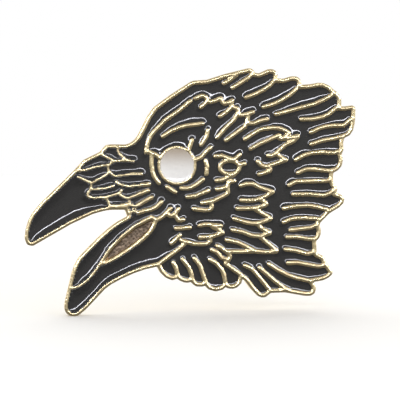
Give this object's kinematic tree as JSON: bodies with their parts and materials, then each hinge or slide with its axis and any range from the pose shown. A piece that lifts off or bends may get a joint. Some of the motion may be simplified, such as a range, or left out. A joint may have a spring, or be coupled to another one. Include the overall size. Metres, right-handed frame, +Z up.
{
  "type": "cap badge",
  "caption": "Enamelled pin badge of a raven's head with an open beak, gold-plated raised lines, and posts and butterfly clutches that hold it on a cap.",
  "frame": {"origin": "on the flat back face, midway between the two pin posts", "axes": "+Y out of the back along the posts, +Z up as worn, +X to the right as seen from the front; the struck face looks along -Y"},
  "size_m": [0.0378, 0.0099, 0.0278],
  "materials": {
    "gold_plate": "polished gold plating on struck brass",
    "black_enamel": "glossy soft enamel, black",
    "white_enamel": "glossy soft enamel, off-white",
    "clutch_brass": "bright stamped brass",
    "spring_steel": "plain spring steel",
    "braze": "dull braze"
  },
  "bodies": {
    "badge": {"badge_plate": "gold_plate", "head_enamel": "black_enamel", "upper_beak_enamel": "black_enamel", "nostril_enamel": "black_enamel", "brow_scale_enamel": "black_enamel", "cheek_enamel": "black_enamel", "eye_enamel": "white_enamel", "post_left": "clutch_brass", "post_right": "clutch_brass", "braze_left": "braze", "braze_right": "braze"},
    "clutch_left": {"clutch_left_disc": "clutch_brass", "clutch_left_hood": "clutch_brass", "clutch_left_spring": "spring_steel"},
    "clutch_left_upper": {"clutch_left_wing_upper": "clutch_brass"},
    "clutch_left_lower": {"clutch_left_wing_lower": "clutch_brass"},
    "clutch_right": {"clutch_right_disc": "clutch_brass", "clutch_right_hood": "clutch_brass", "clutch_right_spring": "spring_steel"},
    "clutch_right_upper": {"clutch_right_wing_upper": "clutch_brass"},
    "clutch_right_lower": {"clutch_right_wing_lower": "clutch_brass"}
  },
  "joints": [
    {"name": "clutch_left_slide", "type": "slide", "parent": "badge", "child": "clutch_left", "axis": [0, 1, 0], "range_m": [-0.0018, 0.011]},
    {"name": "clutch_left_squeeze", "type": "hinge", "parent": "clutch_left", "child": "clutch_left_upper", "pos_m": [-0.0061, 0.0037, 0.003], "axis": [-1, 0, 0], "range_deg": [0, 10], "stiffness_Nm_per_rad": 0.0002, "springref_deg": -2.86},
    {"name": "clutch_left_squeeze_lower", "type": "hinge", "parent": "clutch_left", "child": "clutch_left_lower", "pos_m": [-0.0061, 0.0037, -0.003], "axis": [1, 0, 0], "range_deg": [0, 10], "stiffness_Nm_per_rad": 0.0002, "springref_deg": -2.86},
    {"name": "clutch_right_slide", "type": "slide", "parent": "badge", "child": "clutch_right", "axis": [0, 1, 0], "range_m": [-0.0018, 0.011]},
    {"name": "clutch_right_squeeze", "type": "hinge", "parent": "clutch_right", "child": "clutch_right_upper", "pos_m": [0.0061, 0.0037, 0.003], "axis": [-1, 0, 0], "range_deg": [0, 10], "stiffness_Nm_per_rad": 0.0002, "springref_deg": -2.86},
    {"name": "clutch_right_squeeze_lower", "type": "hinge", "parent": "clutch_right", "child": "clutch_right_lower", "pos_m": [0.0061, 0.0037, -0.003], "axis": [1, 0, 0], "range_deg": [0, 10], "stiffness_Nm_per_rad": 0.0002, "springref_deg": -2.86}
  ],
  "couplings": [
    {"joint": "clutch_left_squeeze_lower", "follows": "clutch_left_squeeze", "ratio": 1},
    {"joint": "clutch_right_squeeze_lower", "follows": "clutch_right_squeeze", "ratio": 1}
  ]
}
